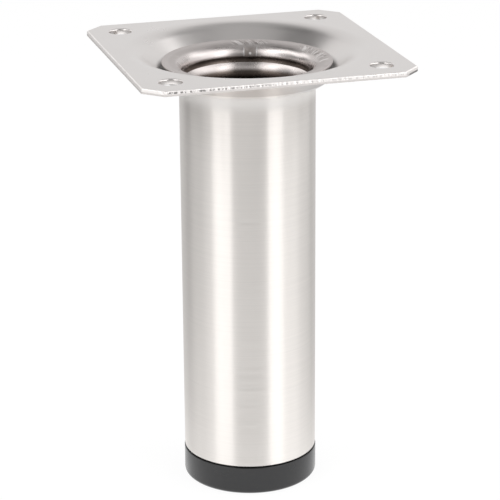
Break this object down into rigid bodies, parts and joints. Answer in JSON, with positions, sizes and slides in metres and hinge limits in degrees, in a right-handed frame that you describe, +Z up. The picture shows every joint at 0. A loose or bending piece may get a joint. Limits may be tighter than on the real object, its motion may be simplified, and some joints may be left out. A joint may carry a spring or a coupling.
{
  "type": "furniture leg",
  "caption": "Round brushed steel furniture leg with a flared top end locked in a dished square screw plate, and a black push-in plastic foot.",
  "frame": {"origin": "centre of the foot's ground face", "axes": "+Z up along the tube's axis to the plate, +X and +Y along the plate's sides"},
  "size_m": [0.06, 0.06, 0.1],
  "materials": {
    "plate_steel": "satin",
    "tube_steel": "brushed around the girth",
    "foot_plastic": "satin black"
  },
  "bodies": {
    "root": {"mounting_plate": "plate_steel", "leg_tube": "tube_steel", "foot_plug": "foot_plastic"}
  },
  "joints": []
}
